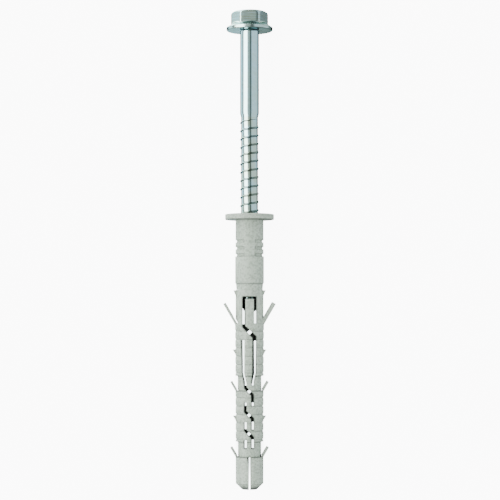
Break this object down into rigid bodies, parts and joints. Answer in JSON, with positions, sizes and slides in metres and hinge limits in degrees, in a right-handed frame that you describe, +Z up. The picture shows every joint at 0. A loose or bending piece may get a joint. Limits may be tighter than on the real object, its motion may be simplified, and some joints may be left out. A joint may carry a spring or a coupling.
{
  "type": "frame expansion plug",
  "caption": "Long slotted plastic wall plug with a collar and side wings, and a flanged hexagon screw set partway into it.",
  "frame": {"origin": "middle of the bounding box's underside: below the plug and screw's shared axis, halfway from the head's top to the plug's tip", "axes": "+Y along the shared axis, from the plug's tip to the screw's head; +Z up; the wings point to -X and +X"},
  "size_m": [0.019, 0.173, 0.0177],
  "materials": {
    "nylon": "moulded, light grey with a green cast",
    "zinc_steel": "bright zinc plate with a blue cast"
  },
  "bodies": {
    "plug": {"plug": "nylon"},
    "screw": {"screw": "zinc_steel"}
  },
  "joints": [
    {"name": "screw_slide", "type": "slide", "parent": "plug", "child": "screw", "axis": [0, 1, 0], "range_m": [-0.06645, 0.039], "deforming": ["plug"]}
  ]
}
